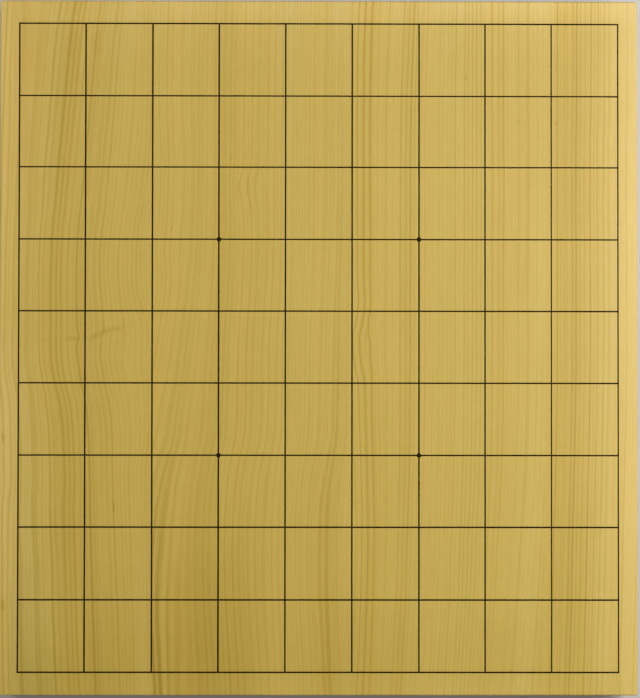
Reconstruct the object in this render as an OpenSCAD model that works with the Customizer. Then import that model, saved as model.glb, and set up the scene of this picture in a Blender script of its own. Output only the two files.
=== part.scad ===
// Tabletop shogi board: three softwood staves glued edge to edge, with the playing field
// drawn on the top in raised dark lacquer. Millimetres. The origin is the middle of the
// underside, +Z is up, +Y runs along the grain and +X runs across the board.

/* [Playing field] */
// Width of one square, across the grain
square_w = 34.9; // [25:0.1:40]
// Length of one square, along the grain
square_l = 37.75; // [27:0.05:43]
// Squares between a corner of the field and its star point, both ways
star_squares = 3; // [1:1:4]

/* [Board] */
// Bare wood between the field and each long edge
side_margin = 10.2; // [4:0.1:30]
// Bare wood between the field and each end
end_margin = 12.1; // [4:0.1:30]
// Thickness of the wood
board_t = 30; // [10:0.5:60]
// Radius of the eased outer edges
edge_r = 0.8; // [0.3:0.1:3]

/* [Staves] */
// Squares across the left stave
left_squares = 2; // [1:1:4]
// Squares across the middle stave
middle_squares = 3; // [1:1:4]
// Thickness of the cured glue between two staves
glue_t = 0.1; // [0.04:0.02:0.3]

/* [Lacquer] */
// Width of every line
line_w = 0.85; // [0.4:0.05:1.2]
// Height of the lines along the grain, which are drawn first
file_line_h = 0.12; // [0.06:0.01:0.2]
// Lacquer that a later stroke leaves over an earlier one where they cross
over_h = 0.1; // [0.06:0.01:0.2]
// Diameter of a star point
star_d = 2.7; // [1.8:0.1:5]

/* [Hidden] */
squares = 9;
lines = squares + 1;
stars = 4;

field_w = squares * square_w;
field_l = squares * square_l;
board_w = field_w + 2 * side_margin;
board_l = field_l + 2 * end_margin;

// The second set of lines runs over the first, and the star points over both
rank_line_h = file_line_h + over_h;
star_h = rank_line_h + over_h;

// Room past a face for whatever cuts through it
past = 1;
$fn = 96;

wood = [0.76, 0.65, 0.34];
lacquer = [0.13, 0.10, 0.04];
glue = [0.80, 0.62, 0.30];

// Lines are counted from 1, from the left and from the front
function file_x(i) = (i - 1) * square_w - field_w / 2;
function rank_y(j) = (j - 1) * square_l - field_l / 2;

// The seams lie under lines of the field, where they are hidden
left_seam_x = file_x(1 + left_squares);
right_seam_x = file_x(1 + left_squares + middle_squares);

// The star points stand on the crossings nearest each camp's corners
star_file = [1 + star_squares, lines - star_squares];
star_rank = [1 + star_squares, lines - star_squares];

// Radius of the round back of a strip or dome that is this wide and high
function crown_r(w, h) = (w * w / 4 + h * h) / (2 * h);

// Rectangle about the origin with round corners
module eased_rectangle(a, b) {
    square([a - 2 * edge_r, b], center = true);
    square([a, b - 2 * edge_r], center = true);
    for (x = [-1, 1], y = [-1, 1])
        translate([x * (a / 2 - edge_r), y * (b / 2 - edge_r)])
            circle(edge_r);
}

// The whole board before it is parted: three rounded outlines crossed, one along each
// axis, so that all twelve edges are eased alike
module blank() {
    translate([0, 0, board_t / 2])
        intersection() {
            linear_extrude(board_t, center = true)
                eased_rectangle(board_w, board_l);
            rotate([90, 0, 0])
                linear_extrude(board_l, center = true)
                    eased_rectangle(board_w, board_t);
            rotate([90, 0, 90])
                linear_extrude(board_w, center = true)
                    eased_rectangle(board_l, board_t);
        }
}

// What the blank holds between two places across the board
module slice(from_x, to_x) {
    intersection() {
        blank();
        translate([from_x, -board_l / 2 - past, -past])
            cube([to_x - from_x, board_l + 2 * past, board_t + 2 * past]);
    }
}

module stave_left() {
    color(wood)
        slice(-board_w / 2 - past, left_seam_x - glue_t / 2);
}

module stave_middle() {
    color(wood)
        slice(left_seam_x + glue_t / 2, right_seam_x - glue_t / 2);
}

module stave_right() {
    color(wood)
        slice(right_seam_x + glue_t / 2, board_w / 2 + past);
}

module glue_film(x) {
    color(glue)
        slice(x - glue_t / 2, x + glue_t / 2);
}

// Strip of lacquer along Y with a flat foot and a round back
module stroke(len, h) {
    r = crown_r(line_w, h);
    rotate([90, 0, 0])
        linear_extrude(len, center = true)
            intersection() {
                translate([0, h - r])
                    circle(r);
                translate([-line_w / 2, 0])
                    square([line_w, h]);
            }
}

module file_stroke(i) {
    translate([file_x(i), 0, board_t])
        stroke(field_l + line_w, file_line_h);
}

module rank_stroke(j) {
    translate([0, rank_y(j), board_t])
        rotate([0, 0, 90])
            stroke(field_w + line_w, rank_line_h);
}

module file_line(i) {
    color(lacquer)
        file_stroke(i);
}

// Each line across the board bridges the ten that were drawn before it
module rank_line(j) {
    color(lacquer)
        difference() {
            rank_stroke(j);
            for (i = [1:lines])
                file_stroke(i);
        }
}

// Drop of lacquer over a crossing, cut out underneath where the two lines run through it
module star_point(i, j) {
    r = crown_r(star_d, star_h);
    color(lacquer)
        difference() {
            translate([file_x(i), rank_y(j), board_t])
                intersection() {
                    translate([0, 0, star_h - r])
                        sphere(r);
                    cylinder(h = star_h + past, d = star_d + 2 * past);
                }
            file_stroke(i);
            rank_stroke(j);
        }
}

stave_left();
stave_middle();
stave_right();
glue_film(left_seam_x);  // glue_left
glue_film(right_seam_x);  // glue_right

for (i = [1:lines])
    file_line(i);

for (j = [1:lines])
    rank_line(j);

// Star points are counted along each rank in turn, from the front
for (s = [1:stars])
    star_point(star_file[(s - 1) % 2], star_rank[floor((s - 1) / 2)]);
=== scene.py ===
import math

import bmesh
import bpy
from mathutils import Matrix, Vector


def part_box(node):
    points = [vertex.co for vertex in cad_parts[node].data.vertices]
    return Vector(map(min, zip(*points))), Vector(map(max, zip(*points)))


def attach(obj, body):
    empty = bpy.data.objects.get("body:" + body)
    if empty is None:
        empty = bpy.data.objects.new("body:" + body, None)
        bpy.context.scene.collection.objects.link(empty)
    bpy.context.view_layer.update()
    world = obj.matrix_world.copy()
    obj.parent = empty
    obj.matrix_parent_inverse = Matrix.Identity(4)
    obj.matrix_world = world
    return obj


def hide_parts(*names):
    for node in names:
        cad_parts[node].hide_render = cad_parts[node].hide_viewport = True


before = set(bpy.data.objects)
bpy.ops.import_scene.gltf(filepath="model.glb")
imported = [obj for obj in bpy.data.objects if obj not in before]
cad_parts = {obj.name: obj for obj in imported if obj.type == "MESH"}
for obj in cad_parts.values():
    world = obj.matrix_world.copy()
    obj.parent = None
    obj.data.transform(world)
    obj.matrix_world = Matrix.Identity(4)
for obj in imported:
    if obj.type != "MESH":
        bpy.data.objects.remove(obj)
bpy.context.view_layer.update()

mm = 0.001               # in metres
near = 0.001 * mm        # places closer than this count as one

# The three staves give the outline of the board and the height of its top, in metres
staveBoxes = [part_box(name) for name in ("stave_left", "stave_middle", "stave_right")]
boardLow = Vector([min(low[axis] for low, high in staveBoxes) for axis in range(3)])
boardHigh = Vector([max(high[axis] for low, high in staveBoxes) for axis in range(3)])
top = boardHigh.z


# Camera, lamps and floor

camera = {
    "place": (-8.06, -26.06, 1229.7),    # mm, nearly straight above the board
    "turn": (1.1989, -0.4191, 0.0809),   # degrees about X, Y and Z
    "lens": 128.83,                      # mm
    "sensor": 36,                        # mm wide
    "sees": (0.01, 50),                  # m, nearest and furthest
}

studio = {
    "fill": 0.20,                        # even light from all round
    "backdrop": 0.55,                    # how pale the far floor and what is behind it look
    "lamps": [                           # place and width in mm, and level on the board
        ((537, 144, 605), 520, 0.62),
        ((-568, 328, 489), 520, 0.155),
        ((-250, -1300, 420), 520, 0.04),
    ],
    "floor": (0.56, 0.55, 0.53),
    "floorWide": 8.0,                    # m
    "floorPatches": (3.0, 0.98),         # how many in a metre, and what the darkest leave of the colour
    "floorFar": (0.3, 1.5),              # m, where it starts to turn as pale as the backdrop, and has turned
    "floorLit": 0.14,                    # how pale the lamps alone make the far floor
    "floorRoughness": 0.9,
    "floorSpecular": 0.1,
}


def makeCamera():
    data = bpy.data.cameras.new("camera")
    data.sensor_fit = "HORIZONTAL"
    data.sensor_width = camera["sensor"]
    data.lens = camera["lens"]
    data.clip_start, data.clip_end = camera["sees"]
    view = bpy.data.objects.new("camera", data)
    bpy.context.scene.collection.objects.link(view)
    view.location = Vector(camera["place"]) * mm
    view.rotation_mode = "ZYX"
    view.rotation_euler = [math.radians(angle) for angle in camera["turn"]]
    bpy.context.scene.camera = view


def makeLamp(number, place, wide, level):
    data = bpy.data.lights.new("lamp" + str(number), "AREA")
    data.shape = "DISK"
    data.size = wide * mm
    lamp = bpy.data.objects.new(data.name, data)
    bpy.context.scene.collection.objects.link(lamp)
    lamp.location = Vector(place) * mm
    towards = Vector((0, 0, top)) - lamp.location
    lamp.rotation_euler = towards.to_track_quat("-Z", "Y").to_euler()
    slant = -towards.normalized().z
    data.energy = math.pi ** 2 * level * towards.length_squared / slant    # lights a white top to this level
    lamp.visible_camera = False


# Helpers for the node trees

usual = (0.3, 0.7)       # most of a noise lies between these


def addNode(tree, kind, inputs=None, **settings):
    node = tree.nodes.new("ShaderNode" + kind)
    for setting, value in settings.items():
        setattr(node, setting, value)
    for socket, value in (inputs or {}).items():
        if isinstance(value, bpy.types.NodeSocket):
            tree.links.new(value, node.inputs[socket])
        else:
            node.inputs[socket].default_value = value
    return node


def calc(tree, operation, a, b=0.0, c=0.0):
    return addNode(tree, "Math", {0: a, 1: b, 2: c}, operation=operation).outputs[0]


def ramp(tree, value, fromLow, fromHigh, toLow=0.0, toHigh=1.0, kind="SMOOTHSTEP"):
    spans = {"Value": value, "From Min": fromLow, "From Max": fromHigh, "To Min": toLow, "To Max": toHigh}
    return addNode(tree, "MapRange", spans, interpolation_type=kind).outputs["Result"]


def noise(tree, vector, scale, detail=2.0, roughness=0.5):
    spans = {"Vector": vector, "Scale": scale, "Detail": detail, "Roughness": roughness}
    return addNode(tree, "TexNoise", spans).outputs["Fac"]


def noiseAlong(tree, value, scale, seed):
    spans = {"W": calc(tree, "ADD", value, seed), "Scale": scale, "Detail": 1.0}
    return addNode(tree, "TexNoise", spans, noise_dimensions="1D").outputs["Fac"]


def stretch(tree, vector, scale):
    return addNode(tree, "VectorMath", {0: vector, 1: scale}, operation="MULTIPLY").outputs["Vector"]


def swing(tree, value, most, about=0.0):
    # Noise keeps between about 0.25 and 0.75, so this strays by up to most either way
    return calc(tree, "MULTIPLY_ADD", value, 4 * most, about - 2 * most)


def blend(tree, factor, a, b, way="MIX", clamp=True):
    node = addNode(tree, "Mix", {}, data_type="RGBA", blend_type=way, clamp_factor=clamp)
    for place, value in ((0, factor), (6, a), (7, b)):
        if isinstance(value, bpy.types.NodeSocket):
            tree.links.new(value, node.inputs[place])
        else:
            node.inputs[place].default_value = value
    return node.outputs[2]


def colour(rgb):
    return (rgb[0], rgb[1], rgb[2], 1.0)


def curve(tree, value, points):
    # A smooth curve through (value, result) points, both in their own units
    points = sorted(points)
    first, last = points[0][0], points[-1][0]
    lowest = min(result for place, result in points)
    highest = max(result for place, result in points)
    wide, high = last - first, highest - lowest
    spots = [((place - first) / wide, (result - lowest) / high) for place, result in points]
    node = addNode(tree, "FloatCurve", {"Value": ramp(tree, value, first, last, kind="LINEAR")})
    line = node.mapping.curves[0]
    line.points[0].location = spots[0]
    line.points[1].location = spots[-1]
    for spot in spots[1:-1]:
        line.points.new(*spot)
    node.mapping.update()
    return ramp(tree, node.outputs[0], 0, 1, lowest, highest, kind="LINEAR")


def total(tree, values):
    result = values[0]
    for value in values[1:]:
        result = calc(tree, "ADD", result, value)
    return result


def newMaterial(name):
    material = bpy.data.materials.new(name)
    material.use_nodes = True
    material.node_tree.nodes.clear()
    return material, material.node_tree


def finishMaterial(tree, inputs, bumpHeight=None, bumpDeep=0.0):
    shader = addNode(tree, "BsdfPrincipled", inputs)
    if bumpHeight is not None:
        bump = addNode(tree, "Bump", {"Height": bumpHeight, "Strength": 1.0, "Distance": bumpDeep})
        tree.links.new(bump.outputs["Normal"], shader.inputs["Normal"])
    addNode(tree, "OutputMaterial", {"Surface": shader.outputs["BSDF"]})


def makeWorld():
    world = bpy.data.worlds.new("studio")
    world.use_nodes = True
    tree = world.node_tree
    tree.nodes.clear()
    rays = addNode(tree, "LightPath").outputs
    shown = calc(tree, "MAXIMUM", rays["Is Glossy Ray"], rays["Is Transmission Ray"])
    strength = ramp(tree, shown, 0, 1, studio["fill"], 1.0, kind="LINEAR")
    strength = ramp(tree, rays["Is Camera Ray"], 0, 1, strength, studio["backdrop"], kind="LINEAR")
    sky = addNode(tree, "Background", {"Color": colour((1, 1, 1)), "Strength": strength})
    addNode(tree, "OutputWorld", {"Surface": sky.outputs[0]})
    bpy.context.scene.world = world


def makeFloor():
    bpy.ops.mesh.primitive_plane_add(size=studio["floorWide"], location=(0, 0, 0))
    floor = bpy.context.object
    floor.name = "floor"
    material, tree = newMaterial("paleFloor")
    place = addNode(tree, "TexCoord").outputs["Object"]
    often, darkest = studio["floorPatches"]
    shade = ramp(tree, noise(tree, place, often), *usual, darkest, 1.0)
    tone = blend(tree, 1.0, colour(studio["floor"]), shade, "MULTIPLY")
    away = addNode(tree, "VectorMath", {0: place}, operation="LENGTH").outputs["Value"]
    far = ramp(tree, away, *studio["floorFar"], 0, studio["backdrop"] - studio["floorLit"])
    seen = calc(tree, "MULTIPLY", addNode(tree, "LightPath").outputs["Is Camera Ray"], far)
    finishMaterial(tree, {"Base Color": tone, "Roughness": studio["floorRoughness"],
                          "Specular IOR Level": studio["floorSpecular"],
                          "Emission Color": colour((1, 1, 1)), "Emission Strength": seen})
    floor.data.materials.append(material)


bpy.ops.object.select_all(action="DESELECT")
bpy.context.scene.view_settings.view_transform = "Standard"
makeCamera()
makeWorld()
for number, (place, wide, level) in enumerate(studio["lamps"], start=1):
    makeLamp(number, place, wide, level)
makeFloor()
print("camera, lamps and floor are in place")


# Wood. Every stave is a solid in which the rings are shells round a pith outside the
# board, so the same rings run along the faces and arch across the ends.
# Places are in mm from the middle of the board, darkness in percent of the light.

grainEnd = 182                           # mm from the middle of the board, where the lists below end

wood = {
    "light": (0.550, 0.387, 0.073),      # plain early wood
    "keeps": (0.919, 0.904, 0.77),       # what every 10 percent of darkness leaves of it
    "darkest": 55,                       # percent
    "darkestEase": 15,                   # percent before that, in which the darkness slows down
    "warmth": 0.02,                      # how far streaks turn from yellow to orange
    "warmTurns": (0.3, 2),               # what such a turn does for red against green, and against blue
    "blue": (1.01, 0.0002, 0.0004),      # painted sheen: blue in the middle, and its rise in each mm right and back, towards the lamps
    "endGrain": (0.55, 0.95),            # how far a face looks along Y, from side grain to end grain
    "endDarker": 1.8,                    # share that open pores add to the darkness there
    "endTint": (0.80, 0.70, 0.55),
    "edgeTint": (1.17, 1.17, 1.50),      # paler and bluer near the outer edges
    "sidePale": [(30, 0), (24, 0.28), (13, 0.32), (10.5, 0.55), (8.5, 0.72), (6, 0.95), (3, 1)],
    "backPale": [(34, 0), (20, 0.2), (13.6, 0.32), (10.5, 0.6), (8.4, 0.82), (6.3, 0.95), (3, 1.1)],
    "frontPale": [(13, 0), (9, 0.15), (3, 0.3)],      # mm from the edge, share of the tint
    "ringDark": 12,
    "ringChance": (0.7, 0.45),           # what chance adds to the strength of a ring, and its least
    "ringFades": (0.35, 1.3),            # least and most that is left of it along its way
    "ringLate": (0.55, 0.86, 0.88),      # where late wood begins, is dark, and starts to end in a ring
    "ringCrowds": (0.09, 2.4),           # how often in a mm the rings crowd, and by how many
    "lineWide": (0.75, 0.03),            # mm, half the width of a line, and more for each percent
    "bandDark": 1.25,                    # times what the bands' lists say
    "markDeep": 6,                       # mm, least depth of a mark
    "sway": 0.1,                         # mm that the grain strays slowly
    "ripple": 0.125,                     # mm that it strays in short waves
    "fibreDark": 4.0,
    "mottleDark": 2.7,
    "cloudDark": 2.6,
    "noises": {                          # changes in a mm across, along and in height, detail, roughness
        "sway": ((0.03, 0.012, 0.02), 1, 0.5),
        "ripple": ((0.16, 0.05, 0.1), 1, 0.5),
        "fading": ((0.5, 0.014, 0.5), 2, 0.5),
        "fibres": ((2.2, 0.05, 2.2), 3, 0.6),
        "mottle": ((0.3, 0.14, 0.3), 3, 0.6),
        "clouds": ((0.05, 0.018, 0.05), 2, 0.5),
        "streaks": ((0.12, 0.008, 0.12), 2, 0.5),
    },
    "roughness": 0.45,
    "endRoughness": 0.68,
    "roughSpread": 0.04,                 # that the fibres add or take
    "specular": 0.45,
    "bump": 0.03,                        # mm
    "bumpShares": (0.7, 0.3),            # what the fibres and the late wood have of it
}

staves = {
    "stave_left": {
        "pith": (-330, -95),             # across and in height
        "ring": 2.6,                     # mm from ring to ring
        "finer": [(-168, 0), (-121, 0.5), (-88, -1.2)],      # rings more than that, up to each place
        "seed": 3.0,                     # of its rings' chances
        "lineWide": 0.85,                # share of the usual width
        "lineDark": 1.55,                # times the darkness that its lines have below
        "fibres": 0.85,                  # share of the usual fibres
        "drifts": [                      # mm that the grain strays, along the stave, and its share across it
            ([(-182, 11.4), (-143, 9.8), (-101, 8.2), (-59, 7), (-38, 5.8), (-17, 2), (0, 0), (35, -1),
              (56, -0.2), (77, 2), (119, 6.5), (161, 10.5), (182, 13.5)],
             [(-168, 0.4), (-156, 0.85), (-141, 1), (-127, 0.9), (-114, 0.8), (-104, 0.6), (-98, 0.4),
              (-88, 0)]),
            ([(-182, 0), (-120, -1), (-70, -1), (-38, 1.2), (0, 0), (14, -1.1), (35, -4.4), (56, -4.2),
              (77, -1.7), (98, 0.4), (119, 1.6), (150, 2), (182, -1)],
             [(-168, 0), (-110, 0.03), (-103, 0.4), (-98, 0.8), (-93, 1), (-87, 0.7)]),
            ([(-182, 1.9), (-142, 1.9), (-123, 1.4), (-104, 1.1), (-85, 0.5), (-66, 0.2), (-48, 0.7),
              (-29, 0.3), (-10, -0.2), (9, 1.5), (28, 0.6), (47, -0.5), (66, 0.5), (84, 0.7), (122, 0.9),
              (182, 1.2)],
             [(-168, 0), (-130, 0), (-117, 0.6), (-107, 1), (-88, 1)]),
            ([(-182, -0.3), (-142, -0.9), (-123, -0.7), (-85, -0.4), (-66, 0.5), (-29, 0.6), (-10, 0.1),
              (9, 0.7), (28, 1.1), (66, 0.8), (84, 0.4), (103, -0.1), (122, -0.3), (182, -0.6)],
             [(-168, 1), (-141, 1), (-130, 0.6), (-120, 0), (-88, 0)]),
            ([(-182, 0), (-123, 0.2), (-104, 1), (-48, 1.8), (-10, 1.8), (28, 2), (66, 1.7), (90, 0.3),
              (182, 0)],
             [(-168, 0), (-157, 0.6), (-151, 1), (-146, 0.5), (-141, 0), (-88, 0)]),
            ([(-182, 0), (-20, 0), (-8, -0.4), (2, -1), (5, -0.9), (8, -0.2), (11, 0.2), (16, 0), (182, 0)],
             [(-168, 0), (-120, 0), (-114, 1), (-108, 1), (-100, 0), (-88, 0)]),
            ([(-182, 0), (-12, 0), (-4, -0.4), (0, -0.5), (3, 0.1), (5.5, 0.7), (8, 0.2), (12, 0), (182, 0)],
             [(-168, 0), (-132, 0), (-127, 1), (-122, 1), (-118, 0), (-88, 0)]),
            ([(-182, 0.7), (-130, 0.8), (-105, -0.2), (-85, -1), (-60, -1.5), (-35, -1.4), (-15, 0),
              (182, 0)],
             [(-168, 0), (-161, 0.6), (-156, 1), (-147, 1), (-143, 0.5), (-139, 0), (-88, 0)]),
        ],
        "lines": [                       # place, darkness at the back and the front, where the back's begins
            (-168, 12, 12), (-165.2, 8, 11), (-163.6, 7, 7), (-161.3, 8, 18), (-159, 3, 5), (-155.8, 3, 12),
            (-154.4, 5, 14), (-151.9, 7, 8), (-147.9, 11, 16), (-144.7, 9, 9), (-140.5, 20, 13),
            (-137.5, 9, 7), (-135.3, 8, 14), (-134.4, 8, 0), (-131.8, 5, 6), (-126.3, 11, 19), (-124, 7, 7),
            (-120.5, 6, 3), (-117.2, 12, 6), (-113.7, 9, 12), (-109, 2, 5), (-106, 3, 8), (-102.7, 1, 4),
            (-97.2, 5, 1), (-93.3, 9, 2), (-88.6, 4, 6),
        ],
        "bands": [                       # place, half width, darkness at the back and at the front
            (-140, 9, 5, 3), (-127, 8, 2, 5), (-106, 10, -3, -1.5), (-96, 9, 0, -2.5),
        ],
        "tints": [                       # place, half width, percent of orange at the back and at the front
            (-160, 16, 6, -7), (-135, 18, 1.5, 3), (-110, 16, 0.5, 2), (-92, 10, 1, 1),
        ],
        "calm": [((-98, -18), (13, 45), 0.6)],           # place, size, share that the fine rings lose
        "marksAndPaintedShade": [                       # place, size, degrees of turn, darkness; the wide faint ones are painted shade, and painted light where their darkness is negative
            ((-106.6, 9.6), (7.5, 2.2), 11, 12), ((-111.8, 8.1), (3, 2.6), 25, 10),
            ((-116.6, 5.9), (7.5, 2.4), 26, 12), ((-129.3, 4.4), (7.5, 2.2), 2, 10),
            ((-141, 3.7), (10, 2), 0, 3), ((-140, -200), (60, 65), 0, 9), ((-107, -84), (1.1, 4.8), 3, 23),
            ((-165, -47.5), (1.5, 4.2), 0, 20), ((-164.8, -135), (1.6, 4.8), 0, 25),
            ((-113, 54), (1.4, 9), 4, 5), ((-109, 62), (1.2, 8), 6, 4), ((-106, -185), (26, 90), 0, 7),
            ((-165, -190), (45, 75), 0, 8), ((-162, -65), (32, 80), 0, -6), ((-130, 182), (38, 11), 0, 7),
            ((-128, 161), (6, 16), 0, 4), ((-116.5, 160), (4, 12), 0, 6),
        ],
    },
    "stave_middle": {
        "pith": (250, -120),
        "ring": 2.3,
        "finer": [(-88, 0), (-16, 0), (18, 4)],
        "seed": 11.0,
        "lineWide": 0.95,
        "lineDark": 1.4,
        "fibres": 0.8,
        "drifts": [
            ([(-182, -4.4), (-164, -5.4), (-143, -6.9), (-122, -7.9), (-101, -8.1), (-80, -7), (-59, -3.9),
              (-38, -0.6), (0, 0), (35, 1.7), (56, 2.4), (98, 2.8), (140, 3.1), (182, 3.8)],
             [(-88, 1), (-30, 1), (-22, 0.95), (-14, 0.72), (-4, 0.68), (3, 0.85), (11, 0.6), (18, 0.5)]),
            ([(-182, -11), (-143, -9.8), (-101, -7.9), (-59, -6.1), (-38, -5.4), (-17, -2.4), (0, 0),
              (14, 1.4), (35, 3.2), (56, 4.5), (77, 6), (98, 6.4), (119, 5.6), (140, 5.1), (182, 5.3)],
             [(-88, 0.95), (-80, 1), (-73, 0.93), (-68, 0.77), (-64, 0.5), (-59, 0.3), (-52, 0.15),
              (-44, 0.04), (-36, 0), (18, 0)]),
            ([(-182, 1), (-104, 1.2), (-85, 1), (-66, 0.5), (-48, 0), (0, -0.1), (28, 0.3), (60, 0.2),
              (84, -0.3), (182, -0.3)],
             [(-88, 0.3), (-60, 0.8), (-44, 1), (-33, 0.5), (-10, 0.3), (3, -0.6), (11, -1), (18, -1)]),
            ([(-182, -1), (-155, -1.5), (-130, -1.9), (-95, -1.6), (-66, -0.5), (-40, 0.8), (-10, 1.5),
              (28, 1.3), (42, 0), (55, -1.3), (90, -1.5), (182, -1.5)],
             [(-88, 0.8), (-80, 1), (-74, 0.5), (-68, 0), (18, 0)]),
            ([(-182, 0), (50, 0), (66, -0.1), (75, -0.7), (81, -1.8), (85, -2), (90, -1.2), (96, -0.3),
              (104, 0), (182, 0)],
             [(-88, 0), (-52, 0), (-45, 1), (-41, 1.1), (-37, 0.9), (-32, 0.2), (-28, 0), (18, 0)]),
        ],
        "lines": [
            (-86.3, 6, 4), (-83.8, 4, 3), (-78.4, 5, 11), (-73.2, 3, 13), (-69.2, 7, 7), (-69.2, 0, 28, -40),
            (-66.4, 5, 5), (-66.4, 0, 32, -30), (-63.2, 1, 14, -20), (-61, 0, 9, -40), (-58.7, 11, 4),
            (-55.3, 1, 8), (-53.4, 9, 0), (-52, 1, 7), (-49.4, 9, 8), (-46.5, 5, 2), (-41.8, 4, 7),
            (-37.6, 6, 10), (-34.3, 9, 10), (-32, 4, 5), (-29.6, 9, 8), (-25.7, 5, 7), (-22.3, 6, 6),
            (-15.4, 4, 6), (-4.3, 4, 3), (1, 9, 8), (3.8, 4, 6), (8.2, 3, 13), (10.4, 2, 17), (12.7, 0, 6),
            (14.9, 7, 7),
        ],
        "bands": [
            (-81, 9, -2.5, -1), (-71, 7, 0, 4), (-52, 10, 4, 3), (-62, 7, 1, -1), (-6, 9, -1, 1.5),
            (9, 6, 0, 3),
        ],
        "tints": [(-82, 12, 0, 6), (-59, 13, 0, 4), (-40, 10, 1, 2.5), (-18, 14, -4, 3), (8, 12, -3.5, 2.5)],
        "calm": [((-60, 0), (20, 60), 0.3)],
        # the wide faint marks along the front edge are painted shade
        "marksAndPaintedShade": [
            ((-77.4, 61.9), (0.8, 1.7), 0, 20), ((-45.9, 99.6), (0.7, 1.9), 8, 18),
            ((-42.2, 84), (1.2, 7), -8, 11), ((-41, 79.5), (1, 4), -25, 7), ((-37, 84), (1.3, 8), 0, 8),
            ((-35.6, 75), (1.2, 9), 0, 6), ((-55, -190), (42, 130), 0, 17), ((20, -175), (50, 65), 0, 7),
        ],
    },
    "stave_right": {
        "pith": (330, -140),
        "ring": 2.25,
        "finer": [(17, 0), (86, 0), (120, 3.6), (168, 3.6)],
        "seed": 23.0,
        "lineWide": 0.7,
        "lineDark": 1.7,
        "fibres": 1.1,
        "drifts": [
            ([(-182, -8.7), (-164, -7.4), (-143, -5.9), (-122, -4.6), (-101, -3.6), (-80, -2.3), (-59, -1.3),
              (-38, -0.6), (-17, -0.2), (0, 0), (182, 0)],
             [(17, 0.35), (30, 0.38), (36, 0.5), (42, 0.72), (60, 0.76), (76, 0.84), (90, 0.93), (108, 1.03),
              (118, 1), (124, 0.7), (128, 0.5), (168, 0.5)]),
            ([(-182, 3.6), (-143, 4.5), (-101, 4.8), (-80, 4.1), (-59, 3.1), (-38, 2.2), (-17, 1.7),
              (0, -0.1), (14, -0.1), (28, 0.7), (66, 0.8), (103, 0.65), (150, 0.8), (182, 1.9)],
             [(17, 1), (30, 0.8), (34, 0.5), (38, 0.25), (43, 0.1), (48, 0), (168, 0)]),
            ([(-182, 0), (100, 0), (119, 0.3), (140, 0.8), (161, 1.6), (182, 2.5)],
             [(17, 0), (32, 0.3), (38, 1), (48, 1), (60, 0.6), (76, 0.3), (90, 0), (168, 0)]),
            ([(-182, 1), (-142, 1), (-104, 0.8), (-66, 0.45), (-29, 0.25), (9, 0.15), (84, 0.2), (182, 0.1)],
             [(17, 0), (24, 0.2), (37, 1.2), (45, 1.6), (58, 1.2), (71, 1.6), (79, 1.5), (95, 1.2),
              (106, 0.5), (116, 0.3), (124, 0), (168, 0)]),
            ([(-182, 0.2), (-142, 0.2), (-104, 0.5), (-66, 0.9), (9, 0.8), (47, 0.8), (84, 1.1), (182, 1.1)],
             [(17, 0), (58, 0), (71, 0.2), (79, 0.2), (95, 0.7), (106, 1.15), (116, 1.15), (122, 0.3),
              (129, 0), (168, 0)]),
            ([(-182, 0.5), (-142, 0.3), (-104, 0.1), (-66, 0), (-29, 0.3), (47, 0.5), (84, 0.4), (122, 0.9),
              (182, 1.1)],
             [(17, 0), (120, 0), (129, 0.4), (136, 0.8), (150, 1), (168, 1)]),
            ([(-182, 0), (-40, 0), (-22, -0.4), (-12, -0.8), (-4, -1.2), (3, -1.4), (9, -0.6), (16, 0.5),
              (22, 0.9), (30, 0.5), (42, 0), (182, 0)],
             [(17, 0.9), (21, 1), (23.5, 1), (25.3, 0.2), (27, 0), (168, 0)]),
            ([(-182, 0), (-30, 0), (-18, 0.1), (-3, 0.8), (5, 0.3), (12, -0.4), (18.4, 0.5), (25, 0.5),
              (36, 0), (182, 0)],
             [(17, 0), (23.7, 0), (26, 1), (30, 1), (36, 0), (168, 0)]),
        ],
        "lines": [
            (16.3, 4, 9), (19.5, 14, 8), (22.8, 19, 15), (26.4, 20, 12), (34.5, 12, 6), (42.6, 14, 8),
            (45.4, 14, 10), (47.7, 18, 10), (49.8, 9, 3), (53.4, 6, 2), (55.6, 3, 3), (62.4, 5, 3),
            (64.7, 6, 5), (68.6, 6, 3), (71, 10, 5), (76, 10, 5), (78, 6, 2), (80.1, 10, 5), (82.3, 13, 5),
            (84.7, 11, 6), (90.4, 15, 5), (93.8, 11, 3), (95.9, 15, 4), (103.6, 10, 3), (108.6, 14, 7),
            (113.1, -3, -2), (119.6, 1, 7), (125.1, 14, 11), (129.9, 6, 7), (132.6, 8, 10), (134.7, 19, 18),
            (136.9, 4, 6), (139.2, 6, 7), (142.1, 12, 15), (144.2, 4, 4), (145.9, 9, 9), (148.8, 6, 9),
            (151.6, 8, 9), (159.4, 2, 5), (161.3, 8, 7),
        ],
        "bands": [
            (24, 9, 3, 2), (36, 8, -1.5, 0), (48, 7, 2, 1), (66, 9, -1, -0.5), (87, 12, 1, 0.5),
            (114, 10, -0.5, -3), (127, 8, 5, 5), (134, 8, 3, 3), (142, 9, 3, 3), (153, 8, -3, -3),
            (164, 8, -2, -2),
        ],
        "tints": [
            (26, 12, 1, 1.5), (48, 10, -1, 0), (69, 15, -3, 0), (82, 8, -1.5, -1), (104, 9, -1, -1.5),
            (115, 9, -2, -3.5), (129, 7, 5, 0), (139, 5, 1, -1), (150, 9, -2, -3), (163, 9, -2, -2),
        ],
        "calm": [((104, -120), (20, 90), 0.4), ((45, -140), (25, 60), 0.3)],
        # the wide faint marks are painted shade, and painted light where their darkness is negative
        "marksAndPaintedShade": [
            ((77.2, 141.6), (0.9, 2.3), 0, 18), ((105, 118.5), (0.8, 1.6), 0, 18),
            ((124.9, 118), (0.8, 1.8), 0, 20), ((20, -175), (50, 65), 0, 7), ((163, 180), (12, 16), 0, -6),
            ((135, 120), (60, 75), 0, 4), ((92, -165), (40, 40), 0, 4), ((105, 183), (75, 10), 0, -5),
            ((150, -150), (16, 30), 0, -3),
        ],
    },
}


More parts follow.
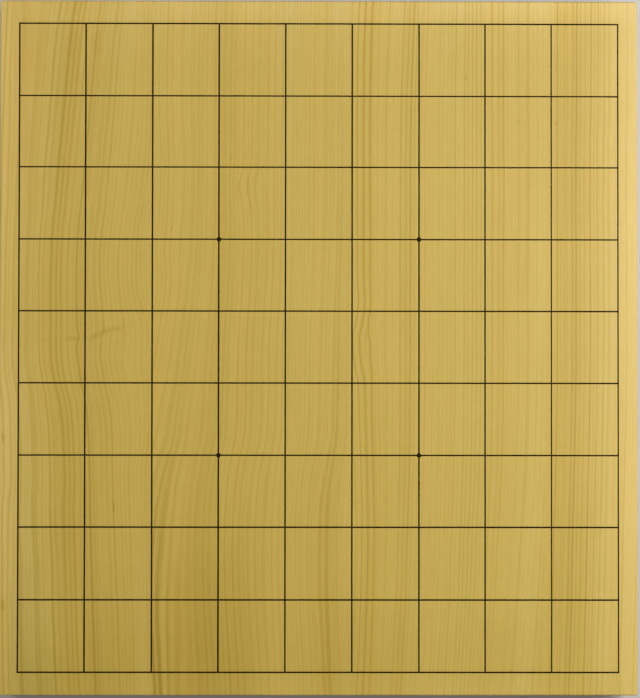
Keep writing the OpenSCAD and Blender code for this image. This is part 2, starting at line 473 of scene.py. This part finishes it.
def makeGrainLine():
    # One dark ring: a soft line at its place, whose darkness changes from front to back
    tree = bpy.data.node_groups.new("grainLine", "ShaderNodeTree")
    for name in ("Across", "Along", "Place", "Half width", "Back", "Front", "Reach"):
        tree.interface.new_socket(name, in_out="INPUT", socket_type="NodeSocketFloat")
    tree.interface.new_socket("Darkness", in_out="OUTPUT", socket_type="NodeSocketFloat")
    given = tree.nodes.new("NodeGroupInput").outputs
    away = calc(tree, "ABSOLUTE", calc(tree, "SUBTRACT", given["Across"], given["Place"]))
    shape = ramp(tree, away, 0, given["Half width"], 1, 0)
    strength = ramp(tree, given["Along"], -grainEnd, given["Reach"], given["Front"], given["Back"],
                    kind="LINEAR")
    result = tree.nodes.new("NodeGroupOutput")
    tree.links.new(calc(tree, "MULTIPLY", shape, strength), result.inputs["Darkness"])
    return tree


def makeMark():
    # A mark: an ellipsoid, turned about Z. Short dark ones are marks in the wood, such as resin flecks; wide
    # faint ones are painted shade, and painted light where their darkness is negative
    tree = bpy.data.node_groups.new("markShape", "ShaderNodeTree")
    for name, kind in (("Vector", "Vector"), ("Place", "Vector"), ("Turn", "Float"), ("Shrink", "Vector"),
                       ("Darkness", "Float")):
        tree.interface.new_socket(name, in_out="INPUT", socket_type="NodeSocket" + kind)
    tree.interface.new_socket("Darkness", in_out="OUTPUT", socket_type="NodeSocketFloat")
    given = tree.nodes.new("NodeGroupInput").outputs
    away = addNode(tree, "VectorMath", {0: given["Vector"], 1: given["Place"]}, operation="SUBTRACT")
    turned = addNode(tree, "VectorRotate", {"Vector": away.outputs[0], "Angle": given["Turn"]},
                     rotation_type="Z_AXIS")
    shrunk = addNode(tree, "VectorMath", {0: turned.outputs[0], 1: given["Shrink"]}, operation="MULTIPLY")
    length = addNode(tree, "VectorMath", {0: shrunk.outputs[0]}, operation="LENGTH").outputs["Value"]
    shape = ramp(tree, length, 0.2, 1, 1, 0)       # full to a fifth of its size, gone at its edge
    result = tree.nodes.new("NodeGroupOutput")
    tree.links.new(calc(tree, "MULTIPLY", shape, given["Darkness"]), result.inputs["Darkness"])
    return tree


grainLine = makeGrainLine()
markShape = makeMark()


def makeWood(name, stave):
    material, tree = newMaterial(name)
    coordinates = addNode(tree, "TexCoord").outputs
    inMm = addNode(tree, "VectorMath", {0: coordinates["Object"], "Scale": 1 / mm}, operation="SCALE")
    place = inMm.outputs[0]
    x, y, z = addNode(tree, "SeparateXYZ", {0: place}).outputs
    facing = addNode(tree, "SeparateXYZ", {0: coordinates["Normal"]}).outputs
    onEnd = ramp(tree, calc(tree, "ABSOLUTE", facing["Y"]), *wood["endGrain"])
    halfWide, halfLong, height = [edge / mm for edge in boardHigh]
    uneven = {kind: noise(tree, stretch(tree, place, scale), 1.0, detail, roughness)
              for kind, (scale, detail, roughness) in wood["noises"].items()}

    # Shells round the pith: how far across the top the ring through this place comes up
    pithX, pithZ = stave["pith"]
    side = calc(tree, "SUBTRACT", x, pithX)
    deep = calc(tree, "SUBTRACT", z, pithZ)
    deep = calc(tree, "MULTIPLY_ADD", deep, deep, -(height - pithZ) ** 2)
    reach = calc(tree, "MAXIMUM", calc(tree, "MULTIPLY_ADD", side, side, deep), 0.0)
    reach = calc(tree, "SQRT", reach)
    shell = calc(tree, "MULTIPLY_ADD", reach, 1.0 if pithX < 0 else -1.0, pithX)

    # Straighten the grain: first roughly, then from where the line would really be
    alongs = [curve(tree, y, along) for along, across in stave["drifts"]]
    acrosses = [across for along, across in stave["drifts"]]
    first = calc(tree, "MULTIPLY", alongs[0], curve(tree, shell, acrosses[0]))
    guess = calc(tree, "SUBTRACT", shell, first)
    parts = [calc(tree, "MULTIPLY", along, curve(tree, guess, across))
             for along, across in zip(alongs, acrosses)]
    parts += [swing(tree, uneven[kind], wood[kind]) for kind in ("sway", "ripple")]
    across = calc(tree, "SUBTRACT", shell, total(tree, parts))

    def lineAt(spot, wide, back, front, reach=grainEnd):
        spans = {"Across": across, "Along": y, "Place": spot, "Half width": wide, "Back": back,
                 "Front": front, "Reach": reach}
        return addNode(tree, "Group", spans, node_tree=grainLine).outputs[0]

    def markAt(spot, size, turn, strong):
        wide, long = size
        spans = {"Vector": place, "Place": (*spot, height), "Turn": math.radians(-turn),
                 "Shrink": (1 / wide, 1 / long, 1 / max(wide, wood["markDeep"])), "Darkness": strong}
        return addNode(tree, "Group", spans, node_tree=markShape).outputs[0]

    # Fine rings of changing width and strength, dark towards their late wood
    often, most = wood["ringCrowds"]
    count = calc(tree, "MULTIPLY_ADD", across, 1 / stave["ring"], stave["seed"])
    count = calc(tree, "MULTIPLY_ADD", noiseAlong(tree, across, often, stave["seed"]), most, count)
    count = calc(tree, "ADD", count, curve(tree, across, stave["finer"]))
    number = calc(tree, "FLOOR", count)
    part = calc(tree, "FRACT", count)
    begins, darkFrom, darkTo = wood["ringLate"]
    late = calc(tree, "MULTIPLY", ramp(tree, part, begins, darkFrom), ramp(tree, part, darkTo, 1.0, 1, 0))
    chance = addNode(tree, "TexWhiteNoise", {"W": number}, noise_dimensions="1D").outputs["Value"]
    strength = calc(tree, "MULTIPLY_ADD", chance, *wood["ringChance"])
    fading = calc(tree, "MULTIPLY", ramp(tree, uneven["fading"], *usual, *wood["ringFades"]), strength)
    for spot, size, share in stave["calm"]:
        fading = calc(tree, "MULTIPLY", fading, calc(tree, "SUBTRACT", 1, markAt(spot, size, 0, share)))
    rings = calc(tree, "MULTIPLY", calc(tree, "MULTIPLY", late, fading), wood["ringDark"])

    # The rings that stand out, wide tones, marks in the wood with patches of painted shade and painted
    # light, fibres and clouds
    dark = [rings]
    plain, more = wood["lineWide"]
    for spot, back, front, *reach in stave["lines"]:
        wide = (plain + more * max(back, front)) * stave["lineWide"]
        dark.append(lineAt(spot, wide, stave["lineDark"] * back, stave["lineDark"] * front, *reach))
    for spot, wide, back, front in stave["bands"]:
        dark.append(lineAt(spot, wide, wood["bandDark"] * back, wood["bandDark"] * front))
    # marks in the wood, and wide faint patches of painted shade and painted light
    dark += [markAt(*mark) for mark in stave["marksAndPaintedShade"]]
    dark.append(swing(tree, uneven["fibres"], wood["fibreDark"] * stave["fibres"]))
    dark.append(swing(tree, uneven["mottle"], wood["mottleDark"]))
    dark.append(swing(tree, uneven["clouds"], wood["cloudDark"]))
    darkness = total(tree, dark)

    # Open pores make the ends darker and stronger in their rings
    depth = calc(tree, "MULTIPLY_ADD", onEnd, wood["endDarker"], 1.0)
    tenths = calc(tree, "MULTIPLY", darkness, calc(tree, "MULTIPLY", depth, 0.1))
    tenths = calc(tree, "SMOOTH_MIN", tenths, wood["darkest"] / 10, wood["darkestEase"] / 10)
    shades = [calc(tree, "MULTIPLY", calc(tree, "POWER", keep, tenths), light)
              for light, keep in zip(wood["light"], wood["keeps"])]

    # Streaks and tints that turn the wood to orange, and painted sheen: a blue that rises across the board
    # towards the lamps at the right and the back
    warm = swing(tree, uneven["streaks"], wood["warmth"], 1)
    for tint in stave["tints"]:
        warm = calc(tree, "MULTIPLY_ADD", lineAt(*tint), 0.01, warm)
    red, blue = [calc(tree, "MULTIPLY_ADD", warm, share, 1 - share) for share in wood["warmTurns"]]
    # Painted sheen: the blue is raised towards the right and the back, where the lamps' reflection falls
    sheenMiddle, sheenRight, sheenBack = wood["blue"]
    paintedSheen = calc(tree, "MULTIPLY_ADD", x, sheenRight, calc(tree, "MULTIPLY_ADD", y, sheenBack, sheenMiddle))
    shades[0] = calc(tree, "MULTIPLY", shades[0], red)
    shades[1] = calc(tree, "DIVIDE", shades[1], red)
    shades[2] = calc(tree, "MULTIPLY", calc(tree, "DIVIDE", shades[2], blue), paintedSheen)
    tone = addNode(tree, "CombineColor", {0: shades[0], 1: shades[1], 2: shades[2]}).outputs[0]
    tone = blend(tree, onEnd, tone, colour(wood["endTint"]), "MULTIPLY")

    # Paler and bluer along the sides and the back, hardly any at the front
    fromEdges = {
        "sidePale": calc(tree, "SUBTRACT", halfWide, calc(tree, "ABSOLUTE", x)),
        "backPale": calc(tree, "SUBTRACT", halfLong, y),
        "frontPale": calc(tree, "ADD", y, halfLong),
    }
    side, back, front = [curve(tree, away, wood[edge]) for edge, away in fromEdges.items()]
    pale = calc(tree, "MAXIMUM", calc(tree, "MAXIMUM", side, back), front)
    tone = blend(tree, pale, tone, colour(wood["edgeTint"]), "MULTIPLY", clamp=False)

    spread = wood["roughSpread"]
    rough = ramp(tree, onEnd, 0, 1, wood["roughness"], wood["endRoughness"], kind="LINEAR")
    rough = calc(tree, "SUBTRACT", rough, 2 * spread)
    rough = calc(tree, "MULTIPLY_ADD", uneven["fibres"], 4 * spread, rough)
    fibreShare, lateShare = wood["bumpShares"]
    bump = calc(tree, "MULTIPLY_ADD", uneven["fibres"], fibreShare, calc(tree, "MULTIPLY", late, lateShare))
    inputs = {"Base Color": tone, "Roughness": rough, "Specular IOR Level": wood["specular"]}
    finishMaterial(tree, inputs, bump, wood["bump"] * mm)
    return material


glue = {
    "colour": (0.36, 0.24, 0.06),
    "light": (0.45, 0.31, 0.09),
    "patches": (400, 90, 400),           # in a metre, across, along and in height
    "lighter": (0.35, 0.65),             # where in their noise it turns light
    "roughness": (0.34, 0.52),
    "specular": 0.4,
    "bump": 0.02,                        # mm
}


def makeGlue():
    material, tree = newMaterial("curedGlue")
    place = addNode(tree, "TexCoord").outputs["Object"]
    patches = noise(tree, stretch(tree, place, glue["patches"]), 1.0, 2.0)
    tone = blend(tree, ramp(tree, patches, *glue["lighter"]), colour(glue["colour"]), colour(glue["light"]))
    rough = ramp(tree, patches, *usual, *glue["roughness"])
    inputs = {"Base Color": tone, "Roughness": rough, "Specular IOR Level": glue["specular"]}
    finishMaterial(tree, inputs, patches, glue["bump"] * mm)
    return material


lacquer = {
    "colour": (0.0110, 0.0062, 0.0008),
    "thin": (0.020, 0.0115, 0.0015),
    "thinner": (0.4, 0.75),              # where in the pools' noise it turns thin
    "shine": (1.0, 0.78, 0.35),
    "pools": 350.0,                      # in a metre
    "grains": 2500.0,
    "roughness": (0.26, 0.46),
    "specular": 0.07,
    "bump": 0.02,                        # mm
    "grainBump": 0.4,                    # what the grains add to it
}


def makeLacquer():
    material, tree = newMaterial("lineLacquer")
    place = addNode(tree, "TexCoord").outputs["Object"]
    pools = noise(tree, place, lacquer["pools"], 3.0)
    grains = noise(tree, place, lacquer["grains"], 2.0)
    thin = ramp(tree, pools, *lacquer["thinner"])
    tone = blend(tree, thin, colour(lacquer["colour"]), colour(lacquer["thin"]))
    rough = ramp(tree, pools, *usual, *lacquer["roughness"])
    bump = calc(tree, "MULTIPLY_ADD", grains, lacquer["grainBump"], pools)
    inputs = {"Base Color": tone, "Roughness": rough, "Specular IOR Level": lacquer["specular"],
              "Specular Tint": colour(lacquer["shine"])}
    finishMaterial(tree, inputs, bump, lacquer["bump"] * mm)
    return material


woods = {name: makeWood(name.replace("stave_", "wood_"), stave) for name, stave in staves.items()}
curedGlue = makeGlue()
lineLacquer = makeLacquer()
print("wood, glue and lacquer are mixed")


# Helpers for the modelling

def clearSelection():
    if bpy.context.mode != "OBJECT":
        bpy.ops.object.mode_set(mode="OBJECT")
    bpy.ops.object.select_all(action="DESELECT")


def takePrimitive(name):
    # Puts the new primitive's place into its mesh
    piece = bpy.context.object
    piece.name = piece.data.name = name
    bpy.ops.object.transform_apply(location=True, rotation=True, scale=True)
    return piece


def pick(kind, test):
    # Selects the verts, edges or faces of the mesh in edit mode that pass a test
    bpy.ops.mesh.select_mode(type={"verts": "VERT", "edges": "EDGE", "faces": "FACE"}[kind])
    bpy.ops.mesh.select_all(action="DESELECT")
    data = bpy.context.object.data
    mesh = bmesh.from_edit_mesh(data)
    for part in getattr(mesh, kind):
        if test(part):
            part.select_set(True)
    mesh.select_flush_mode()
    bmesh.update_edit_mesh(data)


def middle(part):
    return sum((vert.co for vert in part.verts), Vector()) / len(part.verts)


def runsAlong(edge, axis):
    line = (edge.verts[1].co - edge.verts[0].co).normalized()
    return abs(line[axis]) > 0.99


def weigh(piece, name, weightOf):
    # A vertex group with the weight that each place gets
    group = piece.vertex_groups.new(name=name)
    for vert in piece.data.vertices:
        weight = weightOf(vert.co)
        if weight > 0:
            group.add([vert.index], weight, "REPLACE")
    return name


def shift(piece, direction, grain, amount, level=0.5, group=""):
    # Moves the surface by an uneven amount, in mm, with hills about grain mm long
    texture = bpy.data.textures.new("uneven", "CLOUDS")
    texture.noise_scale = grain * mm
    texture.noise_depth = 1
    modifier = piece.modifiers.new("uneven", "DISPLACE")
    modifier.texture = texture
    modifier.texture_coords = "LOCAL"
    modifier.direction = direction
    modifier.strength = amount * mm
    modifier.mid_level = level
    modifier.vertex_group = group
    bpy.ops.object.modifier_apply(modifier=modifier.name)


def cutFlat():
    # Takes off all that is below the top of the board, and closes the cut
    bpy.ops.mesh.select_all(action="SELECT")
    bpy.ops.mesh.bisect(plane_co=(0, 0, top), plane_no=(0, 0, 1), use_fill=True, clear_inner=True,
                        threshold=0.1 * near)


def crownRadius(width, height):
    # Of the round back of a stroke or drop that is this wide and high
    return (width ** 2 / 4 + height ** 2) / (2 * height)


def finishPiece(piece, node, material, sharp):
    clearSelection()
    bpy.context.view_layer.objects.active = piece
    piece.select_set(True)
    bpy.ops.object.shade_smooth_by_angle(angle=math.radians(sharp))
    evening = piece.modifiers.new("evening", "WEIGHTED_NORMAL")
    evening.keep_sharp = True
    bpy.ops.object.modifier_apply(modifier=evening.name)
    piece.vertex_groups.clear()
    piece.data.materials.clear()
    piece.data.materials.append(material)
    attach(piece, "root")
    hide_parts(node)
    clearSelection()


# Staves and the films of glue between them, planed as one board

plane = {
    "ease": 0.8,        # mm, radius of the outer edges
    "steps": 5,         # round each of them
    "cut": 9,           # mm between the cuts along the edges
    "uneven": 0.16,     # mm, most that the hand-eased edges stray inwards
    "hills": 14,        # mm
    "sharp": 40,        # degrees from which an edge is shown sharp
}


def outerPlanes(co):
    # Distances from the board's outer faces, across, along and in height
    return sorted(min(co[axis] - boardLow[axis], boardHigh[axis] - co[axis]) for axis in range(3))


def planeBlock(node, material):
    low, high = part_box(node)
    clearSelection()
    bpy.ops.mesh.primitive_cube_add(size=1, location=(low + high) / 2, scale=high - low)
    block = takePrimitive("planed_" + node)
    bpy.ops.object.mode_set(mode="EDIT")
    for axis in range(3):
        cuts = int((high[axis] - low[axis]) / (plane["cut"] * mm))
        if cuts:
            pick("edges", lambda edge: runsAlong(edge, axis))
            bpy.ops.mesh.subdivide(number_cuts=cuts)
    pick("edges", lambda edge: outerPlanes(middle(edge))[1] < near)
    bpy.ops.mesh.bevel(offset=plane["ease"] * mm, segments=plane["steps"], affect="EDGES",
                       clamp_overlap=False)
    bpy.ops.object.mode_set(mode="OBJECT")

    def onArris(co):
        # Only what lies between the bevel's own edges moves, so the flat faces stay flat
        nearest, second = outerPlanes(co)[:2]
        return 1.0 if nearest > 10 * near and second < plane["ease"] * mm - 8 * near else 0.0

    arris = weigh(block, "arris", onArris)
    shift(block, "NORMAL", plane["hills"], plane["uneven"], 1.0, arris)
    finishPiece(block, node, material, plane["sharp"])


for node, material in woods.items():
    planeBlock(node, material)
for node in ("glue_left", "glue_right"):
    planeBlock(node, curedGlue)
print("staves are planed and glued")


# Lines of raised lacquer: each is a drawn stroke with a round back, laid in two sets,
# and the second set bridges the first

strokes = {
    "sides": 64,        # of the whole round that the back is a part of
    "step": 4,          # mm between the cuts along a stroke
    "taper": 0.10,      # mm over which an end thins out
    "tip": 0.6,         # what is left of its width and height there
    "sway": 0.05,       # mm that the middle of a stroke wanders
    "swayHills": 48,    # mm
    "swell": 0.05,      # mm that each side of it swells and thins
    "hills": (16, 14.4),                 # mm, on the right and on the left of it
    "sink": 0.2,        # mm that a cutter is let down into the wood
    "sharp": 60,        # degrees from which an edge is shown sharp
    "fileWidths": [1.00, 1.06, 1.05, 1.06, 1.00, 1.00, 1.00, 0.96, 0.84, 0.86],
    "rankWidths": [1.00, 1.03, 1.00, 0.93, 0.94, 0.93, 0.90, 0.87, 0.87, 0.93],
    "fileShifts": [0, -0.15, 0.05, -0.05, 0, 0.05, 0.25, 0, -0.1, 0],    # mm off the drawn grid
    "rankShifts": [-0.05, -0.05, 0.15, 0, 0.05, 0, -0.1, 0.05, -0.25, 0.05],
}


def drawStroke(node, share, off):
    low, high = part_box(node)
    long = 1 if high.y - low.y > high.x - low.x else 0
    wide = 1 - long
    centre = (low + high) / 2
    centre[wide] += off * mm
    width = (high[wide] - low[wide]) * share
    height = high.z - top
    taper = strokes["taper"] * mm
    length = high[long] - low[long] - 2 * taper
    radius = crownRadius(width, height)
    turn = (math.pi / 2, 0, 0) if long == 1 else (0, math.pi / 2, 0)
    clearSelection()
    bpy.ops.mesh.primitive_cylinder_add(
        vertices=strokes["sides"], radius=radius, depth=length,
        location=(centre.x, centre.y, top + height - radius), rotation=turn)
    stroke = takePrimitive("drawn_" + node)
    bpy.ops.object.mode_set(mode="EDIT")
    cutFlat()
    pick("edges", lambda edge: runsAlong(edge, long))
    bpy.ops.mesh.subdivide(number_cuts=int(length / (strokes["step"] * mm)))
    for end in (-1, 1):
        reach = centre[long] + end * length / 2
        pick("faces", lambda face: abs(middle(face)[long] - reach) < near)
        out = Vector((0, 0, 0))
        out[long] = end * taper
        bpy.ops.mesh.extrude_region_move(TRANSFORM_OT_translate={"value": out})
        foot = Vector((centre.x, centre.y, top))
        foot[long] = reach + end * taper
        bpy.ops.transform.resize(value=[strokes["tip"]] * 3, center_override=foot)
    bpy.ops.object.mode_set(mode="OBJECT")
    half = width / 2
    right = weigh(stroke, "right", lambda co: max(0.0, (co[wide] - centre[wide]) / half))
    left = weigh(stroke, "left", lambda co: max(0.0, (centre[wide] - co[wide]) / half))
    sideways = "XY"[wide]
    shift(stroke, sideways, strokes["swayHills"], strokes["sway"])
    shift(stroke, sideways, strokes["hills"][0], strokes["swell"], group=right)
    shift(stroke, sideways, strokes["hills"][1], -strokes["swell"], group=left)
    return stroke


def joinCopies(pieces, name):
    # One mesh of all these strokes, let down a little into the wood so that it cuts cleanly
    clearSelection()
    for piece in pieces:
        piece.select_set(True)
    bpy.context.view_layer.objects.active = pieces[0]
    bpy.ops.object.duplicate()
    bpy.ops.object.join()
    cutter = bpy.context.object
    cutter.name = name
    bpy.ops.object.mode_set(mode="EDIT")
    pick("verts", lambda vert: vert.co.z < top + 2 * near)
    bpy.ops.transform.translate(value=(0, 0, -strokes["sink"] * mm))
    bpy.ops.object.mode_set(mode="OBJECT")
    return cutter


def cutBy(piece, cutter):
    clearSelection()
    bpy.context.view_layer.objects.active = piece
    piece.select_set(True)
    modifier = piece.modifiers.new("bridge", "BOOLEAN")
    modifier.operation = "DIFFERENCE"
    modifier.solver = "MANIFOLD"
    modifier.object = cutter
    bpy.ops.object.modifier_apply(modifier=modifier.name)


def numbered(name, count):
    return [name + str(number) for number in range(1, count + 1)]


def drawSet(name, widths, shifts):
    nodes = numbered(name, len(widths))
    pieces = [drawStroke(*given) for given in zip(nodes, widths, shifts)]
    return nodes, pieces, joinCopies(pieces, name + "cutter")


fileNodes, fileStrokes, fileCutter = drawSet("file_line_", strokes["fileWidths"], strokes["fileShifts"])
rankNodes, rankStrokes, rankCutter = drawSet("rank_line_", strokes["rankWidths"], strokes["rankShifts"])
for stroke in rankStrokes:
    cutBy(stroke, fileCutter)
for stroke, node in zip(fileStrokes + rankStrokes, fileNodes + rankNodes):
    finishPiece(stroke, node, lineLacquer, strokes["sharp"])
print("lines are drawn")


# Star points: drops of lacquer over four crossings

star = {
    "round": 40,        # sides
    "rings": 96,        # of the whole ball that a drop is the cap of
    "uneven": 0.10,     # mm
    "hills": (1.6, 1.92),                # mm, across the board and along it
    "widths": [0.96, 0.98, 1.0, 1.0],
    "shifts": [(0, 0), (0.25, 0), (0, -0.1), (0.2, -0.1)],    # mm, along with the lines
}


def setStar(node, share, off):
    low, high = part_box(node)
    centre = (low + high) / 2 + Vector((off[0], off[1], 0)) * mm
    height = high.z - top
    width = (high.x - low.x) * share
    radius = crownRadius(width, height)
    clearSelection()
    bpy.ops.mesh.primitive_uv_sphere_add(
        segments=star["round"], ring_count=star["rings"], radius=radius,
        location=(centre.x, centre.y, top + height - radius))
    drop = takePrimitive("set_" + node)
    bpy.ops.object.mode_set(mode="EDIT")
    cutFlat()
    bpy.ops.object.mode_set(mode="OBJECT")
    rim = weigh(drop, "rim", lambda co: min(1.0, 2 * (co - centre).xy.length / width))
    for direction, hills in zip("XY", star["hills"]):
        shift(drop, direction, hills, star["uneven"], group=rim)
    for cutter in (fileCutter, rankCutter):
        cutBy(drop, cutter)
    finishPiece(drop, node, lineLacquer, strokes["sharp"])


starNodes = numbered("star_point_", len(star["widths"]))
for given in zip(starNodes, star["widths"], star["shifts"]):
    setStar(*given)
for cutter in (fileCutter, rankCutter):
    bpy.data.objects.remove(cutter)
print("star points are set")
